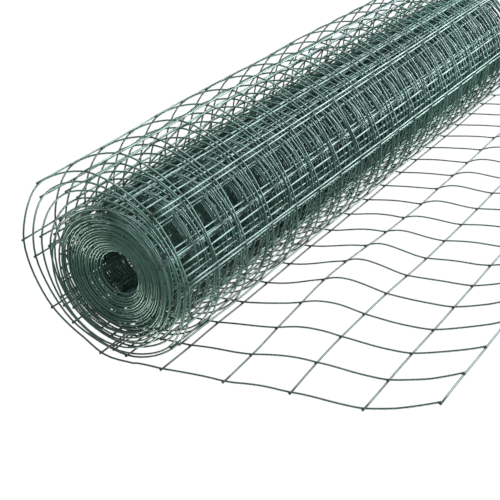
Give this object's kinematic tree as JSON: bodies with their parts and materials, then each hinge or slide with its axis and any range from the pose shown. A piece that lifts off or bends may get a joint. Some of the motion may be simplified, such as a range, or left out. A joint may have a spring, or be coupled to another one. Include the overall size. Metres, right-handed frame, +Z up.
{
  "type": "roll of wire fencing",
  "caption": "Roll of green coated welded wire fencing lying on its side, loose outer turns sprung away from the tight core and its free end drawn out flat.",
  "frame": {"origin": "on the floor, under the middle of the part's box", "axes": "+X the way the free end unrolls, +Y along the axis of the roll away from the near end in the picture, +Z up"},
  "size_m": [0.4603, 0.9194, 0.2117],
  "materials": {
    "coated_wire": "deep green plastic coating over steel wire, satin, rubbed paler along the outer wires"
  },
  "bodies": {
    "root": {"wound_roll": "coated_wire", "lead_out": "coated_wire", "loose_turn_1": "coated_wire", "loose_turn_2": "coated_wire", "loose_turn_3": "coated_wire", "loose_turn_4": "coated_wire"}
  },
  "joints": []
}
